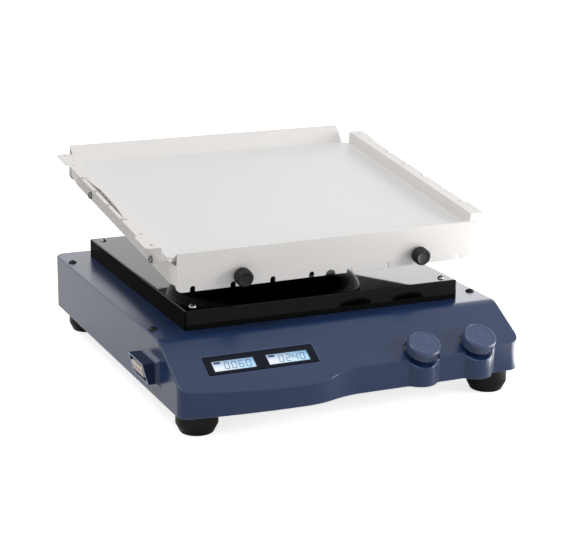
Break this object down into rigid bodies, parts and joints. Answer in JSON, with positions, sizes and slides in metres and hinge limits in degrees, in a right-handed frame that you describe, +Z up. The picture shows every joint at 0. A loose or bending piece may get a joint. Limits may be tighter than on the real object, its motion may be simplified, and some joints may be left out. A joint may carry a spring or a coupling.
{
  "type": "three-dimensional shaker",
  "caption": "Bench shaker with a low sloped-front base, knobs and display, whose square folded tray leans and nutates above a crank-driven carrier.",
  "frame": {"origin": "middle of the whole object's footprint on the bench, at the underside of the feet", "axes": "+Z up, -Y towards the front with the display and knobs, +X to the right seen from the front"},
  "size_m": [0.397, 0.4261, 0.2121],
  "materials": {
    "navy_paint": "satin navy paint on cast aluminium",
    "gloss_black_paint": "high gloss black paint on folded sheet steel",
    "black_carrier": "black anodised turned aluminium",
    "pale_paint": "pale warm grey powder coat on folded sheet steel",
    "support_paint": "pale grey powder coat on folded aluminium sheet",
    "mat_silicone": "matte pale silicone sheet",
    "foot_rubber": "matte black moulded rubber",
    "bright_steel": "bright zinc plated steel",
    "black_steel": "black oxide steel",
    "thumb_plastic": "black moulded plastic with a grained face",
    "knob_plastic": "matte navy moulded plastic",
    "bezel_plastic": "dark printed polycarbonate",
    "display_glass": "backlit liquid crystal window",
    "switch_plastic": "black nylon",
    "boot_plastic": "clear soft vinyl",
    "plated_steel": "zinc plated steel",
    "ground_steel": "ground steel",
    "bare_aluminium": "machined aluminium",
    "motor_case": "dark grey enamel",
    "supply_case": "perforated aluminium case",
    "board_green": "glass fibre circuit board",
    "belt_rubber": "toothed rubber belt",
    "encoder_case": "stamped encoder can"
  },
  "bodies": {
    "base": {"base_plate": "plated_steel", "feet": "foot_rubber", "foot_screws": "bright_steel", "housing": "navy_paint", "housing_pillars": "plated_steel", "housing_screws": "black_steel", "top_cover": "gloss_black_paint", "cover_posts": "plated_steel", "cover_screws": "bright_steel", "mechanism_plate": "bare_aluminium", "mechanism_pillars": "plated_steel", "mechanism_screws": "bright_steel", "bearing_housing": "bare_aluminium", "shaft_bearings": "ground_steel", "guide_fork": "bare_aluminium", "motor_bracket": "plated_steel", "motor_standoffs": "plated_steel", "motor_body": "motor_case", "belt": "belt_rubber", "power_supply": "supply_case", "control_board": "board_green", "board_standoffs": "plated_steel", "display_bezel": "bezel_plastic", "left_lcd": "display_glass", "right_lcd": "display_glass", "display_board": "board_green", "speed_encoder": "encoder_case", "time_encoder": "encoder_case", "encoder_nuts": "encoder_case", "switch_body": "switch_plastic", "rocker_boot": "boot_plastic", "mains_inlet": "switch_plastic"},
    "drive_shaft": {"main_shaft": "ground_steel", "driven_pulley": "bare_aluminium", "crank_hub": "ground_steel", "crank_screw": "bright_steel", "journal_circlip": "ground_steel"},
    "motor_rotor": {"motor_shaft": "ground_steel", "motor_pulley": "bare_aluminium"},
    "rocking_platform": {"carrier": "black_carrier", "carrier_bearings": "ground_steel", "bore_circlips": "ground_steel", "guide_pin": "ground_steel", "support_plate": "support_paint", "support_screws": "bright_steel", "skirt_screws": "bright_steel"},
    "guide_wheel": {"guide_roller": "ground_steel"},
    "tray_unit": {"tray": "pale_paint", "tray_mat": "mat_silicone", "weld_nuts": "bright_steel", "left_washer": "bright_steel", "right_washer": "bright_steel"},
    "left_clamp_screw": {"left_thumb_screw": "thumb_plastic"},
    "right_clamp_screw": {"right_thumb_screw": "thumb_plastic"},
    "speed_plunger": {"speed_spindle": "ground_steel"},
    "time_plunger": {"time_spindle": "ground_steel"},
    "speed_dial": {"speed_knob": "knob_plastic"},
    "time_dial": {"time_knob": "knob_plastic"},
    "power_rocker": {"rocker": "switch_plastic"},
    "fuse_holder": {"fuse_drawer": "switch_plastic"}
  },
  "joints": [
    {"name": "shaft_spin", "type": "hinge", "parent": "base", "child": "drive_shaft", "pos_m": [0.004, 0.0383, 0.06], "axis": [0, 0, 1], "continuous": true},
    {"name": "tray_nutation", "type": "hinge", "parent": "drive_shaft", "child": "rocking_platform", "pos_m": [0.004, 0.0383, 0.143], "axis": [0.0055, -0.1563, 0.9877], "continuous": true},
    {"name": "motor_spin", "type": "hinge", "parent": "base", "child": "motor_rotor", "pos_m": [-0.076, 0.0383, 0.04], "axis": [0, 0, 1], "continuous": true},
    {"name": "roller_spin", "type": "hinge", "parent": "rocking_platform", "child": "guide_wheel", "pos_m": [0.00248, 0.08173, 0.14988], "axis": [-0.0345, 0.9871, 0.1564], "continuous": true},
    {"name": "tray_lift", "type": "slide", "parent": "rocking_platform", "child": "tray_unit", "axis": [0.0055, -0.1563, 0.9877], "range_m": [0, 0.05]},
    {"name": "left_screw_turn", "type": "hinge", "parent": "tray_unit", "child": "left_clamp_screw", "pos_m": [-0.08968, -0.1243, 0.13388], "axis": [0.0345, -0.9871, -0.1564], "range_deg": [0, 180]},
    {"name": "right_screw_turn", "type": "hinge", "parent": "tray_unit", "child": "right_clamp_screw", "pos_m": [0.1088, -0.11737, 0.13388], "axis": [0.0345, -0.9871, -0.1564], "range_deg": [0, 180]},
    {"name": "speed_knob_push", "type": "slide", "parent": "base", "child": "speed_plunger", "axis": [0, 0.4779, -0.8784], "range_m": [0, 0.0008], "stiffness_N_per_m": 1500, "springref_m": -0.001},
    {"name": "speed_knob_turn", "type": "hinge", "parent": "speed_plunger", "child": "speed_dial", "pos_m": [0.07495, -0.19135, 0.05438], "axis": [0, -0.4779, 0.8784], "continuous": true},
    {"name": "time_knob_push", "type": "slide", "parent": "base", "child": "time_plunger", "axis": [0, 0.4779, -0.8784], "range_m": [0, 0.0008], "stiffness_N_per_m": 1500, "springref_m": -0.001},
    {"name": "time_knob_turn", "type": "hinge", "parent": "time_plunger", "child": "time_dial", "pos_m": [0.13785, -0.19135, 0.05438], "axis": [0, -0.4779, 0.8784], "continuous": true},
    {"name": "power_rocker_tilt", "type": "hinge", "parent": "base", "child": "power_rocker", "pos_m": [-0.19064, -0.12345, 0.05312], "axis": [0.2729, 0, -0.962], "range_deg": [0, 12]},
    {"name": "fuse_drawer_slide", "type": "slide", "parent": "base", "child": "fuse_holder", "axis": [0, 1, 0], "range_m": [0, 0.014]}
  ],
  "couplings": [
    {"joint": "tray_nutation", "follows": "shaft_spin", "ratio": -1},
    {"joint": "motor_spin", "follows": "shaft_spin", "ratio": 2.9574}
  ]
}
